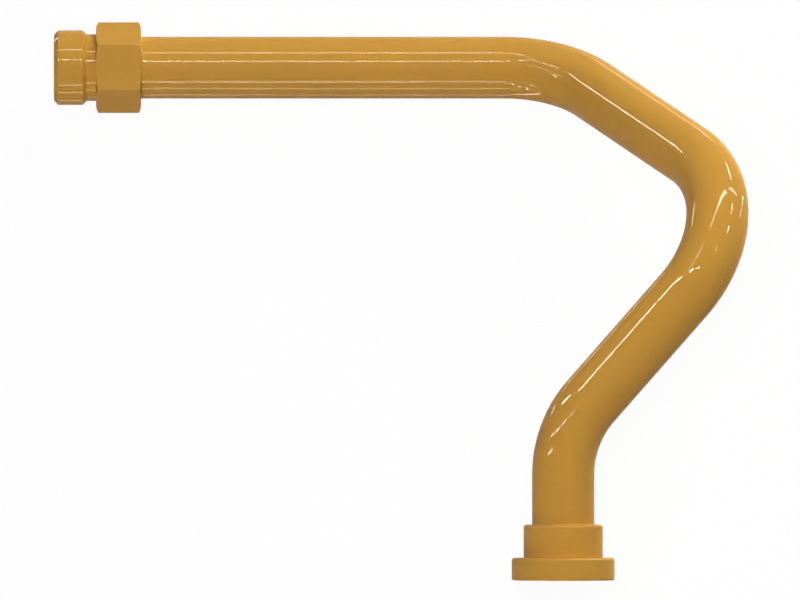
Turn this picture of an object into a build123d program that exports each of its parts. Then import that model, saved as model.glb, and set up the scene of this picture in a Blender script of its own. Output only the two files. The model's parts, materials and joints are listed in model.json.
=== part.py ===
from build123d import *
import os
from math import sqrt

# Bent tube assembly for a hydraulic circuit, brazed from steel pieces.
# A thick-walled tube with three bends carries a face-seal connector on its long run and a
# flange head on its short leg. The connector is one turned piece: a nose at the thread's
# diameter, an undercut and a crowned hexagon. The flange head is one turned piece: a collar,
# and a rim for two clamp halves to hold. The tube sits in a socket in each of them, and the
# braze fills the gap round it and draws into a small fillet at the mouth.

# Tube
tube_diameter = 25.0
tube_wall = 3.0
bend_radius = 45.0

# Route of the tube in the drawing frame, as the steps between the corners where its straight
# runs would meet. It starts at the centre of the flange face, and z is up the flange axis.
leg_up = 59.3
elbow_out = 80.2
elbow_back = 1.7
elbow_up = 91.3
return_in = 80.7
return_back = 92.0
return_up = 55.5
run_length = 204.4

# Flange head
collar_wall = 3.3
collar_height = 13.3
collar_edge_radius = 1.15
rim_step = 4.75
rim_thickness = 9.0
rim_edge_radius = 1.05
rim_foot_radius = 0.75
flange_land = 2.2
flange_groove_width = 4.2
flange_groove_depth = 2.8
flange_floor = 5.2

# Face-seal connector
bore_step = 1.75
inner_land = 1.15
connector_groove_width = 2.3
connector_groove_depth = 1.3
outer_land = 2.18
nose_chamfer = 1.7
nose_length = 11.6
undercut_depth = 1.58
undercut_length = 5.4
hexagon_wall = 3.275
hexagon_length = 18.15
crown_margin = 0.4
crown_drop = 0.98
connector_floor = 6.1

# Both ends
bore_chamfer = 0.5
braze_gap = 0.1
braze_fillet = 0.5

# Diameters and lengths that follow from the sizes above
bore_diameter = tube_diameter - 2 * tube_wall
socket_diameter = tube_diameter + 2 * braze_gap

collar_diameter = socket_diameter + 2 * collar_wall
rim_diameter = collar_diameter + 2 * rim_step
flange_groove_inner = bore_diameter + 2 * flange_land
flange_groove_outer = flange_groove_inner + 2 * flange_groove_width
flange_seat = flange_groove_depth + flange_floor
flange_length = rim_thickness + collar_height

connector_bore = bore_diameter - 2 * bore_step
connector_groove_inner = connector_bore + 2 * inner_land
connector_groove_outer = connector_groove_inner + 2 * connector_groove_width
nose_face_diameter = connector_groove_outer + 2 * outer_land
nose_diameter = nose_face_diameter + 2 * nose_chamfer
undercut_diameter = nose_diameter - 2 * undercut_depth
hexagon_start = nose_length + undercut_length
hexagon_across_flats = socket_diameter + 2 * hexagon_wall
hexagon_corner_radius = hexagon_across_flats / sqrt(3)
hexagon_face_radius = hexagon_across_flats / 2 - crown_margin
connector_seat = hexagon_start + connector_floor
connector_length = hexagon_start + hexagon_length

# Corners of the route, and the points where the tube bottoms in its sockets
run_direction = Vector(-1, 0, 0)
lower_corner = Vector(0, 0, leg_up)
middle_corner = lower_corner + Vector(elbow_out, elbow_back, elbow_up)
upper_corner = middle_corner + Vector(-return_in, return_back, return_up)
connector_face = upper_corner + run_direction * run_length
route = [
    Vector(0, 0, flange_seat),
    lower_corner,
    middle_corner,
    upper_corner,
    connector_face - run_direction * connector_seat,
]

# Points of the crowned hexagon that can touch the floor: six corners at each of its ends
corner_stations = (hexagon_start + crown_drop, connector_length - crown_drop)
corner_directions = [Vector(0, 0, 1).rotate(Axis.X, 60 * i) for i in range(6)]
hexagon_corners = [
    connector_face - run_direction * station + direction * hexagon_corner_radius
    for station in corner_stations
    for direction in corner_directions
]

centreline = FilletPolyline(*route, radius=bend_radius)
centreline_steps = 800
settling_steps = 12


def ring_point(centre, axis, radius, edge_radius, direction):
    """Gives the point furthest along a direction on a round edge of a turned piece."""
    outward = (direction - axis * direction.dot(axis)).normalized()
    return centre + outward * (radius - edge_radius) + direction * edge_radius


def furthest_points(direction):
    """Gives the points furthest along a direction on the tube, hexagon, rim and nose."""
    centres = [centreline @ (i / centreline_steps) for i in range(centreline_steps + 1)]
    return (
        max(centres, key=direction.dot) + direction * (tube_diameter / 2),
        max(hexagon_corners, key=direction.dot),
        ring_point(
            Vector(0, 0, rim_foot_radius),
            Vector(0, 0, 1),
            rim_diameter / 2,
            rim_foot_radius,
            direction,
        ),
        ring_point(connector_face, run_direction, nose_face_diameter / 2, 0, direction),
    )


def middle(direction):
    """Gives the place, along a direction, half way between the assembly's two ends."""
    near = max(point.dot(direction * -1) for point in furthest_points(direction * -1))
    far = max(point.dot(direction) for point in furthest_points(direction))
    return (far - near) / 2


# The assembly can't stand, so it lies as it comes to rest: on its back, on a bend of the
# tube, a corner of the hexagon and the flange rim. The floor through those three points is
# found step by step, because each point shifts a little as the floor turns.
down = Vector(0, 1, 0)
for _ in range(settling_steps):
    tube_point, hexagon_point, rim_point, _nose_point = furthest_points(down)
    down = (rim_point - tube_point).cross(hexagon_point - tube_point).normalized()
up = down * -1
along_run = (run_direction * -1 - up * up.dot(run_direction * -1)).normalized()
across_run = up.cross(along_run)
floor = Plane(
    origin=along_run * middle(along_run)
    + across_run * middle(across_run)
    + up * tube_point.dot(up),
    x_dir=along_run,
    z_dir=up,
)

# The drawing frame and the two sealing faces, as they lie on the floor
drawing = Plane(floor.location.inverse())
flange_plane = drawing
connector_plane = Plane(
    origin=drawing.from_local_coords(connector_face),
    x_dir=drawing.z_dir,
    z_dir=drawing.x_dir,
)
flange_axis = Axis(flange_plane.origin, flange_plane.z_dir)
connector_axis = Axis(connector_plane.origin, connector_plane.z_dir)


def half_section(plane):
    """Gives the plane of a turned profile: x runs along the axis, and y is the radius."""
    return Plane(origin=plane.origin, x_dir=plane.z_dir, z_dir=plane.x_dir)


with BuildPart() as tube:
    with BuildLine():
        FilletPolyline(*[drawing.from_local_coords(point) for point in route], radius=bend_radius)
    with BuildSketch(drawing.offset(flange_seat)):
        Circle(tube_diameter / 2)
        Circle(bore_diameter / 2, mode=Mode.SUBTRACT)
    sweep()

with BuildPart() as flange_head:
    with BuildSketch(flange_plane):
        Circle(rim_diameter / 2)
    extrude(amount=rim_thickness)
    rim_edges = flange_head.edges().filter_by(GeomType.CIRCLE).sort_by(flange_axis)
    fillet(rim_edges[0], rim_foot_radius)
    rim_edges = flange_head.edges().filter_by(GeomType.CIRCLE).sort_by(flange_axis)
    fillet(rim_edges[-1], rim_edge_radius)
    with BuildSketch(flange_plane.offset(rim_thickness)):
        Circle(collar_diameter / 2)
    extrude(amount=collar_height)
    collar_edges = flange_head.edges().filter_by(GeomType.CIRCLE).sort_by(flange_axis)
    fillet(collar_edges[-1], collar_edge_radius)
    with Locations(flange_plane.offset(flange_length)):
        CounterBoreHole(bore_diameter / 2, socket_diameter / 2, flange_length - flange_seat)
    bore_edges = flange_head.faces().sort_by(flange_axis)[0].edges()
    chamfer(bore_edges.sort_by(SortBy.RADIUS)[0], bore_chamfer)
    with BuildSketch(flange_plane):
        Circle(flange_groove_outer / 2)
        Circle(flange_groove_inner / 2, mode=Mode.SUBTRACT)
    extrude(amount=flange_groove_depth, mode=Mode.SUBTRACT)

with BuildPart() as threaded_connector:
    with BuildSketch(connector_plane.offset(hexagon_start)):
        RegularPolygon(hexagon_corner_radius, 6)
    extrude(amount=hexagon_length)
    hexagon_middle = connector_plane.offset(hexagon_start + hexagon_length / 2)
    with BuildSketch(half_section(hexagon_middle)):
        with BuildLine():
            Polyline(
                (0, 0),
                (-hexagon_length / 2, 0),
                (-hexagon_length / 2, hexagon_face_radius),
            )
            crown = TangentArc(
                (-hexagon_length / 2, hexagon_face_radius),
                (-hexagon_length / 2 + crown_drop, hexagon_corner_radius),
                tangent=(0, 1),
            )
            overrun = Line(crown @ 1, crown @ 1 + (crown % 1) * crown_drop)
            Line(overrun @ 1, (0, (overrun @ 1).Y))
            mirror(about=Plane.YZ)
        make_face()
    revolve(axis=connector_axis, mode=Mode.INTERSECT)
    with BuildSketch(half_section(connector_plane)):
        with BuildLine():
            Polyline(
                (0, 0),
                (0, nose_face_diameter / 2),
                (nose_chamfer, nose_diameter / 2),
                (nose_length, nose_diameter / 2),
                (nose_length + undercut_depth, undercut_diameter / 2),
                (hexagon_start, undercut_diameter / 2),
                (hexagon_start, 0),
                close=True,
            )
        make_face()
    revolve(axis=connector_axis)
    with Locations(connector_plane.offset(connector_length)):
        CounterBoreHole(
            connector_bore / 2,
            socket_diameter / 2,
            connector_length - connector_seat,
        )
    bore_edges = threaded_connector.faces().sort_by(connector_axis)[0].edges()
    chamfer(bore_edges.sort_by(SortBy.RADIUS)[0], bore_chamfer)
    with BuildSketch(connector_plane):
        Circle(connector_groove_outer / 2)
        Circle(connector_groove_inner / 2, mode=Mode.SUBTRACT)
    extrude(amount=connector_groove_depth, mode=Mode.SUBTRACT)


def braze_outline(seat, mouth_distance):
    """Draws the filler's half-section: a film along the tube and a hollow fillet."""
    fillet_size = braze_gap + braze_fillet
    Polyline(
        (mouth_distance, tube_diameter / 2 + fillet_size),
        (mouth_distance, socket_diameter / 2),
        (seat, socket_diameter / 2),
        (seat, tube_diameter / 2),
        (mouth_distance + fillet_size, tube_diameter / 2),
    )
    TangentArc(
        (mouth_distance + fillet_size, tube_diameter / 2),
        (mouth_distance, tube_diameter / 2 + fillet_size),
        tangent=(-1, 0),
    )


with BuildPart() as flange_braze:
    with BuildSketch(half_section(flange_plane)):
        with BuildLine():
            braze_outline(flange_seat, flange_length)
        make_face()
    revolve(axis=flange_axis)

with BuildPart() as connector_braze:
    with BuildSketch(half_section(connector_plane)):
        with BuildLine():
            braze_outline(connector_seat, connector_length)
        make_face()
    revolve(axis=connector_axis)

os.makedirs("parts", exist_ok=True)

tube.part.label = "tube"
export_step(tube.part, "parts/tube.step")

flange_head.part.label = "flange_head"
export_step(flange_head.part, "parts/flange_head.step")

threaded_connector.part.label = "threaded_connector"
export_step(threaded_connector.part, "parts/threaded_connector.step")

flange_braze.part.label = "flange_braze"
export_step(flange_braze.part, "parts/flange_braze.step")

connector_braze.part.label = "connector_braze"
export_step(connector_braze.part, "parts/connector_braze.step")
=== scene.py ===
import json
import math

import bmesh
import bpy
from bpy.props import FloatProperty, FloatVectorProperty, IntProperty, PointerProperty
from mathutils import Matrix, Vector


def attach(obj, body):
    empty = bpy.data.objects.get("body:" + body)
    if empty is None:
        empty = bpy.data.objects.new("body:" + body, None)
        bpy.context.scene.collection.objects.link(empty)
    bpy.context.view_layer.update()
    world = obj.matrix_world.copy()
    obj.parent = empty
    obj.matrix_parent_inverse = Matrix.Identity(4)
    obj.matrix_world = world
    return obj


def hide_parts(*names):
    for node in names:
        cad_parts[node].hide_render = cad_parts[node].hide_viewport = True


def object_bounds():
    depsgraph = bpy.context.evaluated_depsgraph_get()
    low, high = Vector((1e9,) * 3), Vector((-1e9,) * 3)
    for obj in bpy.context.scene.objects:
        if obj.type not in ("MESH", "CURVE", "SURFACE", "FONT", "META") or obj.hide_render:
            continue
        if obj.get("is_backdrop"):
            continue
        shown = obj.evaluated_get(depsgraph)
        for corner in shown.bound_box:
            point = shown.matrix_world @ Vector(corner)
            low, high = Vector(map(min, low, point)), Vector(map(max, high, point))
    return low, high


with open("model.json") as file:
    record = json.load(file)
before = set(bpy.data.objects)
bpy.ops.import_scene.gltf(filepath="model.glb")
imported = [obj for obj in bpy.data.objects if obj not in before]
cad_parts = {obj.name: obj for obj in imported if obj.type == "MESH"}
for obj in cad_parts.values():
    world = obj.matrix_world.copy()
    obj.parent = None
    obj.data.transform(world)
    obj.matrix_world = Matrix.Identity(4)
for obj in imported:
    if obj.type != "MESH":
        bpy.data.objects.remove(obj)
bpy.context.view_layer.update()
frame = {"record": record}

bl_info = {
    "name": "Bent tube assembly",
    "version": (1, 0, 0),
    "blender": (4, 5, 0),
    "location": "3D View > Sidebar > Tube assembly",
    "description": "Makes a painted hydraulic tube with a flange head and a connector",
    "category": "Add Mesh",
}

MILLIMETRE = 0.001
MOUNTS = {mount["name"]: mount for mount in frame["record"]["mounts"]}

# Fineness of the roundings and arcs in the half-sections
CORNER_SEGMENTS = 4
EDGE_SEGMENTS = 3
CROWN_STEPS = 12
FILLET_STEPS = 10

# Metres within which two points, or a point and a plane, count as one
MERGE_DISTANCE = 1e-7
CUT_DISTANCE = 1e-8
FLAT_DISTANCE = 1e-6

# Edges sharper than the angle stay sharp in the shading, and large faces weigh more in it
SHARP_ANGLE = math.radians(32)
LARGE_FACE_WEIGHT = 80

# The crown is drawn a little past the hexagon's corners, and the flats cut it off there
HEXAGON_SIDES = 6
HEXAGON_EDGE_ANGLE = math.radians(35)
CROWN_OVERRUN = 1.06

# Patterns in the enamel, in noise cells a metre: haze changes its roughness and gloss, and
# flow and mist together its colour
HAZE_SCALE = 75.0
FLOW_SCALE = 30.0
MIST_SCALE = 420.0

# How much of the colour's noise is flow, and the values at which the enamel is thin and thick
FLOW_SHARE = 0.7
THIN_NOISE, THICK_NOISE = 0.38, 0.62
NOISE_MIDDLE = 0.5

# The floor shows the shadow out to the first distance, and is plain white past the second
FLOOR_FACETS = 96
SHADOW_REACH, WHITE_REACH = 0.25, 0.9
SHADOW_GROUND = (0.95, 0.95, 0.95, 1)
WHITE = (1, 1, 1, 1)

# How many times nearer and farther than the object the camera still sees
CLIP_RANGE = 10

# Softboxes: name, which place and level of the stage they take, width and height in metres
SOFTBOXES = (
    ("key_softbox", "key", 0.9, 0.9),
    ("top_softbox", "top", 0.9, 0.9),
    ("fill_softbox", "fill", 1.0, 0.5),
    ("table_light", "table", 0.9, 0.9),
    ("back_light", "back", 0.9, 0.9),
)

# Long lamps: name, side (1 up the leg, -1 down it), middle, half of the length, width and
# strength. The middle and the half are given to the viewer's right and then towards the
# viewer, and they and the width are shares of the lamps' distance.
LONG_LAMPS = (
    ("lamp_row_1", 1, (-0.06, 2.19), (0.11, 0.15), 0.11, 0.85),
    ("lamp_row_2", 1, (-0.52, 1.62), (0.10, 0.14), 0.10, 1.0),
    ("lamp_row_3", 1, (-1.01, 0.93), (0.10, 0.19), 0.065, 0.75),
    ("lamp_row_4", 1, (-1.43, 0.23), (0.14, 0.15), 0.10, 0.9),
    ("lamp_row_5", 1, (-1.87, -0.97), (0.10, 0.17), 0.36, 0.15),
    ("lamp_side_0", 1, (1.17, 1.88), (0.26, 0.20), 0.12, 0.12),
    ("lamp_side_1", 1, (1.60, 0.95), (0.12, 0.11), 0.10, 1.0),
    ("lamp_side_2", 1, (1.19, 0.36), (0.10, 0.12), 0.075, 0.65),
    ("lamp_side_3", 1, (0.74, -0.28), (0.08, 0.13), 0.065, 0.75),
    ("lamp_side_4", 1, (0.30, -0.90), (0.06, 0.20), 0.20, 0.06),
    ("lamp_edge_1", 1, (2.90, -0.95), (0.25, 0.20), 0.20, 0.5),
    ("lamp_edge_2", 1, (2.55, -1.60), (0.25, 0.20), 0.20, 0.5),
    ("lamp_far_0", 1, (-1.55, 3.25), (0.20, 0.30), 0.25, 0.2),
    ("lamp_far_1", 1, (-2.06, 2.55), (0.17, 0.24), 0.20, 0.55),
    ("lamp_far_2", 1, (-2.60, 2.05), (0.17, 0.24), 0.20, 0.7),
    ("lamp_far_3", 1, (-3.05, 1.38), (0.17, 0.24), 0.20, 0.65),
    ("lamp_far_4", 1, (-5.50, 3.50), (0.70, 0.60), 0.60, 0.8),
    ("strip_first", 1, (-0.59, 1.10), (0.19, -0.15), 0.12, 0.15),
    ("strip_near", 1, (-0.10, 0.71), (0.15, -0.09), 0.07, 0.28),
    ("strip_middle", 1, (0.28, 0.47), (0.27, -0.17), 0.07, 0.55),
    ("strip_far", 1, (1.06, -0.07), (0.36, -0.23), 0.06, 0.35),
    ("strip_edge", 1, (-1.16, -1.45), (0.14, -0.17), 0.07, 0.22),
    ("low_lamp_0", -1, (0.00, 0.87), (0.03, 0.05), 0.05, 0.05),
    ("low_lamp_1", -1, (0.00, 0.69), (0.03, 0.045), 0.05, 0.28),
    ("low_lamp_2", -1, (-0.18, 0.49), (0.03, 0.05), 0.05, 1.0),
    ("low_lamp_3", -1, (-0.32, 0.26), (0.03, 0.05), 0.05, 1.0),
    ("low_lamp_4", -1, (-0.45, 0.08), (0.03, 0.05), 0.05, 1.0),
    ("low_far_1", -1, (-0.62, 0.70), (0.03, 0.05), 0.05, 0.5),
    ("low_far_2", -1, (-0.72, 0.52), (0.03, 0.05), 0.05, 0.5),
    ("low_far_3", -1, (-0.82, 0.36), (0.03, 0.05), 0.05, 0.5),
    ("low_spot", -1, (0.00, 0.09), (0.06, 0.0), 0.07, 0.15),
    ("low_strip_near", -1, (-0.02, -0.70), (0.10, -0.07), 0.05, 0.16),
    ("low_strip_far", -1, (-0.40, -0.40), (0.28, -0.17), 0.07, 0.30),
)


def length(name, description, millimetres):
    """Gives a property for a length."""
    return FloatProperty(
        name=name,
        description=description,
        default=millimetres * MILLIMETRE,
        subtype="DISTANCE",
        unit="LENGTH",
        precision=5,
    )


def share(name, description, value):
    """Gives a property for a number from 0 to 1."""
    return FloatProperty(
        name=name, description=description, default=value, min=0, max=1, subtype="FACTOR"
    )


def level(name, description, value):
    """Gives a property for a brightness."""
    return FloatProperty(name=name, description=description, default=value, min=0)


def tint(name, description, value):
    """Gives a property for a colour."""
    return FloatVectorProperty(
        name=name, description=description, default=value, size=3, subtype="COLOR"
    )


def turn(name, description, degrees):
    """Gives a property for an angle."""
    return FloatProperty(
        name=name, description=description, default=math.radians(degrees), subtype="ANGLE"
    )


def direction(name, description, elevation, azimuth):
    """Gives a property for where a lamp stands: its angle over the floor, and its bearing."""
    return FloatVectorProperty(
        name=name,
        description=description,
        size=2,
        default=(math.radians(elevation), math.radians(azimuth)),
        unit="ROTATION",
    )


class TubeSizes(bpy.types.PropertyGroup):
    """Sizes of the bent tube, and the steps between the corners of its route."""

    diameter: length("Diameter", "Outside diameter of the tube", 25.0)
    wall: length("Wall", "Thickness of the tube's wall", 3.0)
    bend_radius: length("Bend radius", "Radius of each bend, on the centreline", 45.0)
    leg_up: length("Leg", "From the flange face up to the lower corner", 59.3)
    elbow_out: length("Elbow out", "Lower to middle corner, along the run", 80.2)
    elbow_back: length("Elbow back", "Lower to middle corner, away from the viewer", 1.7)
    elbow_up: length("Elbow up", "Lower to middle corner, along the leg", 91.3)
    return_in: length("Return in", "Middle to upper corner, along the run", 80.7)
    return_back: length("Return back", "Middle to upper corner, away from the viewer", 92.0)
    return_up: length("Return up", "Middle to upper corner, along the leg", 55.5)
    run: length("Run", "From the upper corner to the connector's face", 204.4)
    facets_round: IntProperty(
        name="Facets round", description="Facets round the tube", default=128
    )
    facets_bend: IntProperty(name="Facets bend", description="Rings in one bend", default=72)


class FlangeSizes(bpy.types.PropertyGroup):
    """Sizes of the flange head."""

    collar_wall: length("Collar wall", "Wall of the collar round its socket", 3.3)
    collar_height: length("Collar height", "Height of the collar above the rim", 13.3)
    collar_edge: length("Collar edge", "Rounding of the collar's outer edge", 1.15)
    rim_step: length("Rim step", "How far the rim stands out from the collar", 4.75)
    rim_thickness: length("Rim thickness", "Thickness of the rim", 9.0)
    rim_edge: length("Rim edge", "Rounding of the rim's edge on the clamp's side", 1.05)
    rim_foot: length("Rim foot", "Rounding of the rim's edge on the face", 0.75)
    land: length("Land", "Sealing land between the bore and the groove", 2.2)
    groove_width: length("Groove width", "Width of the seal groove", 4.2)
    groove_depth: length("Groove depth", "Depth of the seal groove", 2.8)
    floor: length("Floor", "Metal between the seal groove and the tube's socket", 5.2)


class ConnectorSizes(bpy.types.PropertyGroup):
    """Sizes of the face-seal connector."""

    bore_step: length("Bore step", "How much less the bore's radius is than the tube's", 1.75)
    inner_land: length("Inner land", "Land between the bore and the seal groove", 1.15)
    groove_width: length("Groove width", "Width of the seal groove", 2.3)
    groove_depth: length("Groove depth", "Depth of the seal groove", 1.3)
    outer_land: length("Outer land", "Sealing land outside the groove", 2.18)
    nose_chamfer: length("Nose chamfer", "Chamfer at the front of the nose", 1.7)
    nose_length: length("Nose length", "Length of the nose, with its chamfer", 11.6)
    undercut_depth: length("Undercut depth", "Depth of the undercut behind the nose", 1.58)
    undercut_length: length("Undercut length", "Length of the undercut", 5.4)
    hexagon_wall: length("Hexagon wall", "Wall from the socket to the middle of a flat", 3.275)
    hexagon_length: length("Hexagon length", "Length of the hexagon", 18.15)
    crown_margin: length("Crown margin", "From a flat in to the edge of the end face", 0.4)
    crown_drop: length("Crown drop", "How far the crown falls away at a corner", 0.98)
    hexagon_edge: length("Hexagon edge", "Rounding of the painted hexagon's edges", 0.16)
    floor: length("Floor", "Metal between the undercut and the tube's socket", 6.1)


class JointSizes(bpy.types.PropertyGroup):
    """Sizes that both brazed ends share."""

    bore_chamfer: length("Bore chamfer", "Chamfer at the mouth of a bore", 0.5)
    gap: length("Braze gap", "Gap round the tube that the braze fills", 0.1)
    fillet: length("Braze fillet", "Size of the braze fillet over the gap", 0.5)
    paint_edge: length("Painted edge", "Rounding that the paint gives a sharp edge", 0.12)
    facets: IntProperty(name="Facets", description="Facets round a turned piece", default=144)


class EnamelLook(bpy.types.PropertyGroup):
    """Colours and gloss of the enamel."""

    colour: tint("Colour", "Colour of the enamel", (0.60, 0.304, 0.040))
    deep_colour: tint(
        "Deep colour", "Colour where the enamel lies thicker", (0.572, 0.285, 0.036)
    )
    roughness: share("Roughness", "Roughness of the pigment under the gloss", 0.32)
    roughness_spread: share("Roughness spread", "How much the roughness changes", 0.10)
    gloss: share("Gloss", "Strength of the clear gloss over the pigment", 0.26)
    gloss_spread: share("Gloss spread", "How much the gloss changes", 0.06)
    gloss_roughness: share("Gloss roughness", "Roughness of the clear gloss", 0.05)
    peel_size: length("Peel size", "Distance between the dimples of the skin", 1.1)
    peel_depth: length("Peel depth", "Depth of the dimples", 0.0035)


class StageLook(bpy.types.PropertyGroup):
    """Floor, lamps and camera."""

    floor_colour: tint("Floor colour", "Colour of the floor", (0.50, 0.50, 0.50))
    floor_radius: length("Floor radius", "Radius of the round floor", 6000)
    floor_white: share("Floor white", "How white the floor shows round its shadow", 0.95)
    sky: level("Sky", "Light from all round", 0.04)
    box_distance: length("Softbox distance", "From the object to each softbox", 2000)
    key_place: direction("Key place", "Height and bearing of the key softbox", 25, 60)
    key_level: level("Key level", "Light of the key softbox", 0.70)
    top_place: direction("Top place", "Height and bearing of the overhead softbox", 75, 270)
    top_level: level("Top level", "Light of the overhead softbox", 0.64)
    fill_place: direction("Fill place", "Height and bearing of the fill softbox", 10, 240)
    fill_level: level("Fill level", "Light of the fill softbox", 0.17)
    table_place: direction(
        "Table place", "Depth and bearing of the light off the table", -36, 45
    )
    table_level: level("Table level", "Light that the table throws up", 1.5)
    back_place: direction("Back place", "Depth and bearing of the light from behind", -30, 88)
    back_level: level("Back level", "Light from behind", 0.6)
    lamp_distance: length("Lamp distance", "To the long lamps, up and down the leg", 12000)
    lamp_level: level("Lamp level", "Brightness of the long lamps in the gloss", 120.0)
    lamp_colour: tint("Lamp colour", "Colour of the long lamps", (1.0, 0.87, 0.75))
    lens: FloatProperty(
        name="Lens",
        description="Focal length, long enough that lines in depth stay parallel",
        default=1290.0,
        subtype="DISTANCE_CAMERA",
    )
    view_width: length("View width", "What the picture spans at the object", 321.59)
    view_right: length("View right", "Middle of the picture, along the run", -65.44)
    view_up: length("View up", "Middle of the picture, along the leg", 112.40)
    view_turn: turn("View turn", "Turn of the camera off square", -0.22)
    view_tilt: turn("View tilt", "Tilt of the camera off square", -0.135)


def mount_point(name):
    """Gives a mount's place in the row frame."""
    return Vector(MOUNTS[name]["pos_m"])


def mount_axis(name):
    """Gives a mount's axis in the row frame."""
    return Vector(MOUNTS[name]["axis"]).normalized()


def frame_matrix(origin, x_axis, z_axis):
    """Gives the matrix of a frame with an origin, an x axis and a z axis."""
    y_axis = z_axis.cross(x_axis)
    rotation = Matrix((x_axis, y_axis, z_axis)).transposed()
    return Matrix.Translation(origin) @ rotation.to_4x4()


def drawing_frame(scene):
    """Gives the frame of the drawing: z up the flange's axis, and the run along -x."""
    bore_middle = MOUNTS["flange_bore"]["dims"]["length_mm"] * MILLIMETRE / 2
    face = (
        mount_point("flange_bore")
        + mount_axis("flange_bore") * (bore_middle + scene.joint_sizes.bore_chamfer)
    )
    z_axis = -mount_axis("flange_bore")
    x_axis = -mount_axis("connector_nose")
    x_axis = (x_axis - z_axis * x_axis.dot(z_axis)).normalized()
    return frame_matrix(face, x_axis, z_axis)


def route_corners(scene):
    """Gives the corners of the tube's route in the drawing frame, from the flange's face."""
    tube = scene.tube_sizes
    lower = Vector((0, 0, tube.leg_up))
    middle = lower + Vector((tube.elbow_out, tube.elbow_back, tube.elbow_up))
    upper = middle + Vector((-tube.return_in, tube.return_back, tube.return_up))
    return [Vector((0, 0, 0)), lower, middle, upper, upper - Vector((tube.run, 0, 0))]


def connector_frame(scene):
    """Gives the frame of the connector: z from its face into the piece, x to a corner."""
    drawing = drawing_frame(scene)
    face = drawing @ route_corners(scene)[-1]
    axes = drawing.to_3x3()
    return frame_matrix(face, axes.col[2].normalized(), axes.col[0].normalized())


def flange_seat(scene):
    """Gives the depth at which the tube bottoms in the flange head."""
    return scene.flange_sizes.groove_depth + scene.flange_sizes.floor


def flange_mouth(scene):
    """Gives the place of the collar's end, from the flange's face."""
    return scene.flange_sizes.rim_thickness + scene.flange_sizes.collar_height


def hexagon_start(scene):
    """Gives the place of the hexagon's front face, from the connector's face."""
    return scene.connector_sizes.nose_length + scene.connector_sizes.undercut_length


def connector_seat(scene):
    """Gives the depth at which the tube bottoms in the connector."""
    return hexagon_start(scene) + scene.connector_sizes.floor


def socket_radius(scene):
    """Gives the radius of the sockets that hold the tube."""
    return scene.tube_sizes.diameter / 2 + scene.joint_sizes.gap


def bore_radius(scene):
    """Gives the radius of the tube's own bore."""
    return scene.tube_sizes.diameter / 2 - scene.tube_sizes.wall


def vertices_of(geom):
    """Picks out the vertices of what an operator gives."""
    return [item for item in geom if isinstance(item, bmesh.types.BMVert)]


def spin(bm, geom, centre, axis, angle, steps, use_merge=False):
    """Spins geometry round an axis, and gives where it ends."""
    return bmesh.ops.spin(
        bm,
        geom=geom,
        cent=centre,
        axis=axis,
        dvec=(0, 0, 0),
        angle=angle,
        steps=steps,
        use_merge=use_merge,
        use_duplicate=False,
    )["geom_last"]


def draw_corners(bm, corners):
    """Draws the corners (along, radius, rounding) of a half-section as vertices."""
    return [bm.verts.new((radius, 0, along)) for along, radius, _ in corners]


def draw_arc(bm, start, centre, angle, steps):
    """Draws an arc of a half-section, and gives its first and its last vertex."""
    first = bm.verts.new(start)
    last = vertices_of(spin(bm, [first], centre, (0, 1, 0), angle, steps))[0]
    return first, last


def join(bm, verts):
    """Joins vertices in a row with edges."""
    for one, other in zip(verts, verts[1:]):
        bm.edges.new((one, other))


def round_corners(bm, verts, corners):
    """Rounds those corners of a half-section that have a rounding."""
    for vert, (_, _, rounding) in zip(verts, corners):
        if not rounding:
            continue
        before, after = (edge.other_vert(vert).co - vert.co for edge in vert.link_edges)
        bmesh.ops.bevel(
            bm,
            geom=[vert],
            offset=rounding / math.tan(before.angle(after) / 2),
            offset_type="OFFSET",
            segments=CORNER_SEGMENTS,
            profile=0.5,
            affect="VERTICES",
            material=-1,
        )


def turn_round(bm, facets):
    """Turns the drawn edges once round the z axis."""
    drawn = bm.verts[:] + bm.edges[:]
    spin(bm, drawn, (0, 0, 0), (0, 0, 1), 2 * math.pi, facets, use_merge=True)
    bmesh.ops.remove_doubles(bm, verts=bm.verts[:], dist=MERGE_DISTANCE)


def finish_piece(bm, name, place, node):
    """Makes a painted piece of a bmesh, in place of a CAD node."""
    bmesh.ops.recalc_face_normals(bm, faces=bm.faces[:])
    bmesh.ops.transform(bm, matrix=place, verts=bm.verts[:])
    for face in bm.faces:
        face.smooth = True
    mesh = bpy.data.meshes.new(name)
    bm.to_mesh(mesh)
    bm.free()
    mesh.set_sharp_from_angle(angle=SHARP_ANGLE)
    piece = bpy.data.objects.new(name, mesh)
    bpy.context.scene.collection.objects.link(piece)
    weighted = piece.modifiers.new("flat faces stay flat", "WEIGHTED_NORMAL")
    weighted.keep_sharp = True
    weighted.weight = LARGE_FACE_WEIGHT
    mesh.materials.append(enamel())
    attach(piece, "root")
    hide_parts(node)


class Wire:
    """A number in a material, so that maths on it is written as plain Python."""

    def __init__(self, nodes, socket):
        self.nodes = nodes
        self.socket = socket

    def maths(self, operation, first, second):
        inputs = {0: first, 1: second}
        return self.nodes.add("ShaderNodeMath", {"operation": operation}, inputs)

    def __add__(self, other):
        return self.maths("ADD", self, other)

    def __radd__(self, other):
        return self.maths("ADD", other, self)

    def __sub__(self, other):
        return self.maths("SUBTRACT", self, other)

    def __rsub__(self, other):
        return self.maths("SUBTRACT", other, self)

    def __mul__(self, other):
        return self.maths("MULTIPLY", self, other)

    def __rmul__(self, other):
        return self.maths("MULTIPLY", other, self)

    def largest(self, other):
        return self.maths("MAXIMUM", self, other)


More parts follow.
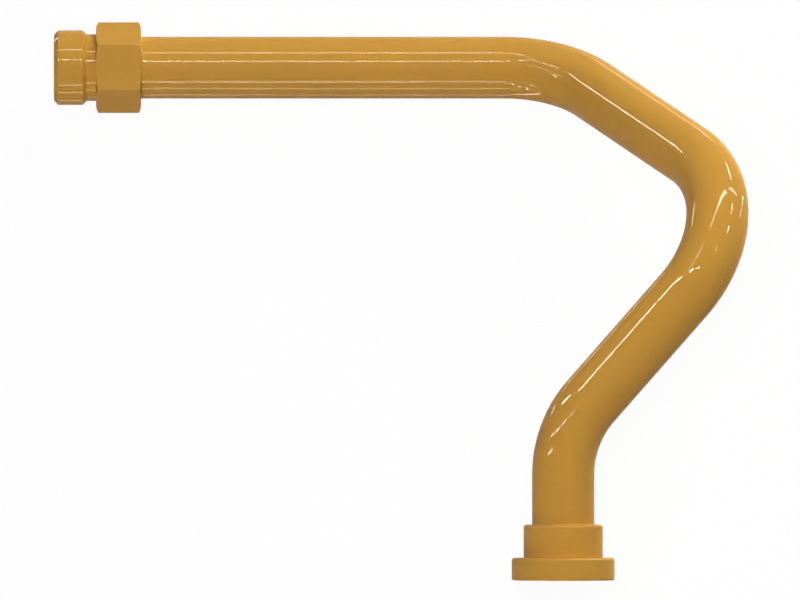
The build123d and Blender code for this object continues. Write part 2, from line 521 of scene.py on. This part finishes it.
class Nodes:
    """The nodes of one material or world."""

    def __init__(self, owner):
        owner.use_nodes = True
        self.tree = owner.node_tree
        self.tree.nodes.clear()

    def add(self, kind, settings, inputs, output=0):
        """Adds a node with its settings and inputs, and gives one of its outputs."""
        node = self.tree.nodes.new(kind)
        for name, value in settings.items():
            setattr(node, name, value)
        for name, value in inputs.items():
            if isinstance(value, Wire):
                self.tree.links.new(value.socket, node.inputs[name])
            else:
                node.inputs[name].default_value = value
        return Wire(self, node.outputs[output]) if node.outputs else None

    def mix(self, factor, first, second):
        """Mixes two colours."""
        return self.add(
            "ShaderNodeMix",
            {"data_type": "RGBA"},
            {"Factor": factor, 6: first, 7: second},
            output=2,
        )

    def noise(self, place, scale, detail):
        """Adds a noise that runs from about 0.3 to 0.7."""
        return self.add(
            "ShaderNodeTexNoise",
            {"noise_dimensions": "3D"},
            {"Vector": place, "Scale": scale, "Detail": detail, "Roughness": 0.5},
        )

    def seen(self):
        """Gives 1 for the rays that look at the background, straight or by reflection."""
        kinds = [
            self.add("ShaderNodeLightPath", {}, {}, output=name)
            for name in ("Is Camera Ray", "Is Glossy Ray", "Is Transmission Ray")
        ]
        return kinds[0].largest(kinds[1]).largest(kinds[2])


def enamel():
    """Gives the gloss ochre enamel, and makes it the first time."""
    name = "gloss_ochre_enamel"
    if name in bpy.data.materials:
        return bpy.data.materials[name]
    look = bpy.context.scene.enamel_look
    material = bpy.data.materials.new(name)
    nodes = Nodes(material)
    place = nodes.add("ShaderNodeTexCoord", {}, {}, output="Object")
    flow = nodes.noise(place, FLOW_SCALE, detail=2.0)
    mist = nodes.noise(place, MIST_SCALE, detail=3.0)
    thickness = nodes.add(
        "ShaderNodeMapRange",
        {"clamp": True},
        {
            "Value": flow * FLOW_SHARE + mist * (1 - FLOW_SHARE),
            "From Min": THIN_NOISE,
            "From Max": THICK_NOISE,
        },
    )
    colour = nodes.mix(thickness, (*look.colour, 1), (*look.deep_colour, 1))
    peel = nodes.noise(place, 1 / look.peel_size, detail=1.0)
    bump = nodes.add(
        "ShaderNodeBump",
        {},
        {"Strength": 1.0, "Distance": look.peel_depth, "Height": peel},
    )
    haze = nodes.noise(place, HAZE_SCALE, detail=2.0) - NOISE_MIDDLE
    skin = nodes.add(
        "ShaderNodeBsdfPrincipled",
        {},
        {
            "Base Color": colour,
            "Roughness": haze * look.roughness_spread + look.roughness,
            "Specular IOR Level": 0.0,
            "Coat Weight": haze * look.gloss_spread + look.gloss,
            "Coat Roughness": look.gloss_roughness,
            "Normal": bump,
        },
    )
    nodes.add("ShaderNodeOutputMaterial", {}, {"Surface": skin})
    return material


class MakeTube(bpy.types.Operator):
    """Makes the bent tube: straight extrusions and spun bends, outside and inside."""

    bl_idname = "tube_assembly.make_tube"
    bl_label = "Bent tube"
    bl_options = {"REGISTER", "UNDO"}

    def end_face(self, bm, scene, place):
        """Draws the tube's first end as a flat ring, and gives it."""
        sizes = scene.tube_sizes
        outside = sizes.diameter / 2
        shrink = bore_radius(scene) / outside
        bmesh.ops.create_circle(bm, segments=sizes.facets_round, radius=outside)
        geom = bmesh.ops.extrude_edge_only(bm, edges=bm.edges[:])["geom"]
        bmesh.ops.scale(bm, vec=(shrink, shrink, 1), verts=vertices_of(geom))
        bmesh.ops.translate(bm, vec=place, verts=bm.verts[:])
        return bm.verts[:] + bm.edges[:] + bm.faces[:]

    def straight(self, bm, end, step):
        """Draws the tube's end out along a step, and gives the new end."""
        geom = bmesh.ops.extrude_face_region(bm, geom=end)["geom"]
        bmesh.ops.translate(bm, vec=step, verts=vertices_of(geom))
        return geom

    def execute(self, context):
        scene = context.scene
        sizes = scene.tube_sizes
        corners = route_corners(scene)
        corners[0] = Vector((0, 0, flange_seat(scene)))
        corners[-1] = corners[-1] + Vector((connector_seat(scene), 0, 0))
        bm = bmesh.new()
        here = corners[0]
        end = self.end_face(bm, scene, here)
        for corner, ahead in zip(corners[1:], corners[2:]):
            heading = (corner - here).normalized()
            onward = (ahead - corner).normalized()
            angle = heading.angle(onward)
            setback = sizes.bend_radius * math.tan(angle / 2)
            step = corner - heading * setback - here
            end = self.straight(bm, end, step)
            axis = heading.cross(onward).normalized()
            centre = here + step + axis.cross(heading) * sizes.bend_radius
            end = spin(bm, end, centre, axis, angle, sizes.facets_bend)
            here = corner + onward * setback
        self.straight(bm, end, corners[-1] - here)
        finish_piece(bm, "bent_tube", drawing_frame(scene), "tube")
        return {"FINISHED"}


class MakeFlangeHead(bpy.types.Operator):
    """Makes the flange head: a collar and a clamp rim, turned from one half-section."""

    bl_idname = "tube_assembly.make_flange_head"
    bl_label = "Flange head"
    bl_options = {"REGISTER", "UNDO"}

    def execute(self, context):
        scene = context.scene
        sizes, joint = scene.flange_sizes, scene.joint_sizes
        bore, socket = bore_radius(scene), socket_radius(scene)
        collar = socket + sizes.collar_wall
        rim = collar + sizes.rim_step
        groove = bore + sizes.land
        mouth, seat = flange_mouth(scene), flange_seat(scene)
        soft = joint.paint_edge
        corners = [
            (joint.bore_chamfer, bore, soft),
            (0, bore + joint.bore_chamfer, soft),
            (0, groove, soft),
            (sizes.groove_depth, groove, 0),
            (sizes.groove_depth, groove + sizes.groove_width, 0),
            (0, groove + sizes.groove_width, soft),
            (0, rim, sizes.rim_foot),
            (sizes.rim_thickness, rim, sizes.rim_edge),
            (sizes.rim_thickness, collar, 0),
            (mouth, collar, sizes.collar_edge),
            (mouth, socket, 0),
            (seat, socket, 0),
            (seat, bore, 0),
        ]
        bm = bmesh.new()
        verts = draw_corners(bm, corners)
        # A face closes the outline while its corners are rounded
        bm.faces.new(verts)
        round_corners(bm, verts, corners)
        bmesh.ops.delete(bm, geom=bm.faces[:], context="FACES_ONLY")
        turn_round(bm, joint.facets)
        finish_piece(bm, "flange_head_turned", drawing_frame(scene), "flange_head")
        return {"FINISHED"}


class MakeConnector(bpy.types.Operator):
    """Makes the connector: nose, undercut and crowned hexagon from one turned blank."""

    bl_idname = "tube_assembly.make_connector"
    bl_label = "Face-seal connector"
    bl_options = {"REGISTER", "UNDO"}

    def crown(self, bm, sizes, start, flat, towards):
        """Draws one crown of the blank as an arc, and gives its inner and outer end."""
        inner = flat - sizes.crown_margin
        rise = flat / math.cos(math.pi / HEXAGON_SIDES) - inner
        radius = (rise**2 + sizes.crown_drop**2) / (2 * sizes.crown_drop)
        angle = math.asin(rise / radius) * CROWN_OVERRUN * -towards
        centre = (inner, 0, start + towards * radius)
        return draw_arc(bm, (inner, 0, start), centre, angle, CROWN_STEPS)

    def blank(self, bm, scene, flat):
        """Turns the blank, with a crown at each end of what becomes the hexagon."""
        sizes, joint = scene.connector_sizes, scene.joint_sizes
        socket = socket_radius(scene)
        bore = bore_radius(scene) - sizes.bore_step
        groove = bore + sizes.inner_land
        nose_face = groove + sizes.groove_width + sizes.outer_land
        nose = nose_face + sizes.nose_chamfer
        undercut = nose - sizes.undercut_depth
        near = hexagon_start(scene)
        far = near + sizes.hexagon_length
        seat = connector_seat(scene)
        soft = joint.paint_edge
        near_inner, near_outer = self.crown(bm, sizes, near, flat, 1)
        far_inner, far_outer = self.crown(bm, sizes, far, flat, -1)
        join(bm, [near_outer, far_outer])
        corners = [
            (far, socket, 0),
            (seat, socket, 0),
            (seat, bore, 0),
            (joint.bore_chamfer, bore, soft),
            (0, bore + joint.bore_chamfer, soft),
            (0, groove, soft),
            (sizes.groove_depth, groove, 0),
            (sizes.groove_depth, groove + sizes.groove_width, 0),
            (0, groove + sizes.groove_width, soft),
            (0, nose_face, soft),
            (sizes.nose_chamfer, nose, soft),
            (sizes.nose_length, nose, soft),
            (sizes.nose_length + sizes.undercut_depth, undercut, 0),
            (near, undercut, 0),
        ]
        verts = draw_corners(bm, corners)
        join(bm, [far_inner, *verts, near_inner])
        round_corners(bm, verts, corners)
        turn_round(bm, joint.facets)
        bmesh.ops.recalc_face_normals(bm, faces=bm.faces[:])

    def cut_flats(self, bm, flat):
        """Cuts the hexagon's flats off the blank, and closes each cut."""
        for side in range(HEXAGON_SIDES):
            angle = math.radians(360 / HEXAGON_SIDES * (side + 0.5))
            outward = Vector((math.cos(angle), math.sin(angle), 0))
            cut = bmesh.ops.bisect_plane(
                bm,
                geom=bm.verts[:] + bm.edges[:] + bm.faces[:],
                dist=CUT_DISTANCE,
                plane_co=outward * flat,
                plane_no=outward,
                clear_outer=True,
            )["geom_cut"]
            rim = [item for item in cut if isinstance(item, bmesh.types.BMEdge)]
            bmesh.ops.contextual_create(bm, geom=rim)
        bmesh.ops.recalc_face_normals(bm, faces=bm.faces[:])

    def soften_hexagon(self, bm, flat, rounding):
        """Rounds the hexagon's edges as the paint does."""
        edges = [
            edge
            for edge in bm.edges
            if edge.is_manifold
            and edge.calc_face_angle() > HEXAGON_EDGE_ANGLE
            and min(vert.co.xy.length for vert in edge.verts) > flat - FLAT_DISTANCE
        ]
        bmesh.ops.bevel(
            bm,
            geom=edges,
            offset=rounding,
            offset_type="OFFSET",
            segments=EDGE_SEGMENTS,
            profile=0.5,
            affect="EDGES",
            clamp_overlap=True,
            material=-1,
        )

    def execute(self, context):
        scene = context.scene
        sizes = scene.connector_sizes
        flat = socket_radius(scene) + sizes.hexagon_wall
        bm = bmesh.new()
        self.blank(bm, scene, flat)
        self.cut_flats(bm, flat)
        self.soften_hexagon(bm, flat, sizes.hexagon_edge)
        finish_piece(bm, "connector_turned", connector_frame(scene), "threaded_connector")
        return {"FINISHED"}


class MakeBraze(bpy.types.Operator):
    """Makes the two rings of braze that join the tube to its ends."""

    bl_idname = "tube_assembly.make_braze"
    bl_label = "Braze"
    bl_options = {"REGISTER", "UNDO"}

    def ring(self, scene, name, node, place, seat, mouth):
        """Makes one ring: a film along the tube and a hollow fillet at the mouth."""
        joint = scene.joint_sizes
        tube = scene.tube_sizes.diameter / 2
        size = joint.gap + joint.fillet
        start = (tube, 0, mouth + size)
        centre = (tube + size, 0, mouth + size)
        corners = [
            (mouth, tube + joint.gap, 0),
            (seat, tube + joint.gap, 0),
            (seat, tube, 0),
        ]
        bm = bmesh.new()
        foot, top = draw_arc(bm, start, centre, -math.pi / 2, FILLET_STEPS)
        join(bm, [top, *draw_corners(bm, corners), foot])
        turn_round(bm, joint.facets)
        finish_piece(bm, name, place, node)

    def execute(self, context):
        scene = context.scene
        self.ring(
            scene,
            "flange_braze_ring",
            "flange_braze",
            drawing_frame(scene),
            flange_seat(scene),
            flange_mouth(scene),
        )
        self.ring(
            scene,
            "connector_braze_ring",
            "connector_braze",
            connector_frame(scene),
            connector_seat(scene),
            hexagon_start(scene) + scene.connector_sizes.hexagon_length,
        )
        return {"FINISHED"}


class MakeStage(bpy.types.Operator):
    """Makes the floor, the lamps and the camera."""

    bl_idname = "tube_assembly.make_stage"
    bl_label = "Floor, lamps and camera"
    bl_options = {"REGISTER", "UNDO"}

    def floor(self, look):
        """Makes a white floor that keeps the object's shadow."""
        bm = bmesh.new()
        bmesh.ops.create_circle(
            bm, cap_ends=True, segments=FLOOR_FACETS, radius=look.floor_radius
        )
        mesh = bpy.data.meshes.new("floor")
        bm.to_mesh(mesh)
        bm.free()
        floor = bpy.data.objects.new("floor", mesh)
        bpy.context.scene.collection.objects.link(floor)
        material = bpy.data.materials.new("white_floor")
        nodes = Nodes(material)
        place = nodes.add("ShaderNodeTexCoord", {}, {}, output="Object")
        away = nodes.add("ShaderNodeVectorMath", {"operation": "LENGTH"}, {0: place}, output=1)
        far = nodes.add(
            "ShaderNodeMapRange",
            {"interpolation_type": "SMOOTHSTEP"},
            {
                "Value": away,
                "From Min": SHADOW_REACH,
                "From Max": WHITE_REACH,
                "To Min": look.floor_white,
                "To Max": 1.0,
            },
        )
        matt = nodes.add("ShaderNodeBsdfDiffuse", {}, {"Color": (*look.floor_colour, 1)})
        plain = nodes.add("ShaderNodeBsdfDiffuse", {}, {"Color": SHADOW_GROUND})
        white = nodes.add("ShaderNodeEmission", {}, {"Color": WHITE, "Strength": 1.0})
        shown = nodes.add("ShaderNodeMixShader", {}, {0: far, 1: plain, 2: white})
        surface = nodes.add("ShaderNodeMixShader", {}, {0: nodes.seen(), 1: matt, 2: shown})
        nodes.add("ShaderNodeOutputMaterial", {}, {"Surface": surface})
        mesh.materials.append(material)
        floor.visible_shadow = False
        floor.visible_glossy = False
        floor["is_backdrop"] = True

    def sky(self, look):
        """Lights the scene from all round, and shows white behind it."""
        world = bpy.data.worlds.new("studio")
        bpy.context.scene.world = world
        nodes = Nodes(world)
        dim = nodes.add("ShaderNodeBackground", {}, {"Color": WHITE, "Strength": look.sky})
        white = nodes.add("ShaderNodeBackground", {}, {"Color": WHITE, "Strength": 1.0})
        shown = nodes.add("ShaderNodeMixShader", {}, {0: nodes.seen(), 1: dim, 2: white})
        nodes.add("ShaderNodeOutputWorld", {}, {"Surface": shown})

    def area_lamp(self, name, width, height):
        """Adds a rectangular lamp that the camera doesn't see."""
        lamp = bpy.data.lights.new(name, "AREA")
        lamp.shape = "RECTANGLE"
        lamp.size, lamp.size_y = width, height
        box = bpy.data.objects.new(name, lamp)
        box.visible_camera = False
        bpy.context.scene.collection.objects.link(box)
        return box

    def softbox(self, look, name, role, width, height):
        """Adds a softbox that lights the pigment and doesn't show in the gloss."""
        elevation, azimuth = getattr(look, role + "_place")
        towards = Vector(
            (
                math.cos(elevation) * math.cos(azimuth),
                math.cos(elevation) * math.sin(azimuth),
                math.sin(elevation),
            )
        )
        box = self.area_lamp(name, width, height)
        box.data.energy = getattr(look, role + "_level") * (math.pi * look.box_distance) ** 2
        box.location = towards * look.box_distance
        box.rotation_euler = towards.to_track_quat("Z", "Y").to_euler()
        box.visible_glossy = False

    def long_lamp(self, look, view, name, side, middle, half, width, strength):
        """Adds a long lamp up or down the leg from the object, that only shows in the gloss."""
        (across, ahead), (half_across, half_ahead) = middle, half
        start, end = (
            view @ (Vector((right, side, towards)) * look.lamp_distance)
            for right, towards in (
                (across - half_across, ahead - half_ahead),
                (across + half_across, ahead + half_ahead),
            )
        )
        span = end - start
        box = self.area_lamp(name, span.length, width * look.lamp_distance)
        lamp = box.data
        lamp.energy = look.lamp_level * strength * math.pi * lamp.size * lamp.size_y
        lamp.color = look.lamp_colour
        box.matrix_world = frame_matrix(
            (start + end) / 2, span.normalized(), view.col[1] * side
        )
        box.visible_diffuse = False

    def camera(self, scene, look):
        """Sets the camera square to the drawing, as the photograph is."""
        turned = (
            drawing_frame(scene)
            @ Matrix.Rotation(look.view_turn, 4, "Z")
            @ Matrix.Rotation(look.view_tilt, 4, "X")
        )
        right, away, up = (turned.to_3x3().col[i].normalized() for i in range(3))
        centre = drawing_frame(scene) @ Vector((look.view_right, 0, look.view_up))
        towards = -away
        aim = centre + away * (away.dot(sum(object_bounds(), Vector()) / 2 - centre))
        lens = bpy.data.cameras.new("camera")
        lens.lens = look.lens
        distance = look.view_width * look.lens / lens.sensor_width
        lens.clip_start, lens.clip_end = distance / CLIP_RANGE, distance * CLIP_RANGE
        camera = bpy.data.objects.new("camera", lens)
        camera.matrix_world = frame_matrix(aim + towards * distance, right, towards)
        scene.collection.objects.link(camera)
        scene.camera = camera
        return Matrix((right, up, towards)).transposed()

    def execute(self, context):
        scene = context.scene
        look = scene.stage_look
        scene.view_settings.view_transform = "Standard"
        self.floor(look)
        self.sky(look)
        for softbox in SOFTBOXES:
            self.softbox(look, *softbox)
        view = self.camera(scene, look)
        for lamp in LONG_LAMPS:
            self.long_lamp(look, view, *lamp)
        return {"FINISHED"}


PIECES = (MakeTube, MakeFlangeHead, MakeConnector, MakeBraze, MakeStage)
GROUPS = {
    "tube_sizes": TubeSizes,
    "flange_sizes": FlangeSizes,
    "connector_sizes": ConnectorSizes,
    "joint_sizes": JointSizes,
    "enamel_look": EnamelLook,
    "stage_look": StageLook,
}


class TubePanel(bpy.types.Panel):
    """Lists the pieces in the sidebar, with their sizes."""

    bl_idname = "VIEW3D_PT_tube_assembly"
    bl_label = "Bent tube assembly"
    bl_space_type = "VIEW_3D"
    bl_region_type = "UI"
    bl_category = "Tube assembly"

    def draw(self, context):
        for piece in PIECES:
            self.layout.operator(piece.bl_idname)
        for name, group in GROUPS.items():
            box = self.layout.box()
            box.label(text=name.replace("_", " ").capitalize())
            for value in group.__annotations__:
                box.prop(getattr(context.scene, name), value)


def register():
    """Registers the pieces, the panel and the sizes."""
    for item in (*GROUPS.values(), *PIECES, TubePanel):
        bpy.utils.register_class(item)
    for name, group in GROUPS.items():
        setattr(bpy.types.Scene, name, PointerProperty(type=group))


def unregister():
    """Takes away what register added."""
    for name in GROUPS:
        delattr(bpy.types.Scene, name)
    for item in reversed((*GROUPS.values(), *PIECES, TubePanel)):
        bpy.utils.unregister_class(item)


def main():
    """Makes every piece and the stage."""
    register()
    bpy.ops.tube_assembly.make_tube()
    bpy.ops.tube_assembly.make_flange_head()
    bpy.ops.tube_assembly.make_connector()
    bpy.ops.tube_assembly.make_braze()
    bpy.ops.tube_assembly.make_stage()
    bpy.context.view_layer.update()


if __name__ == "__main__":
    main()
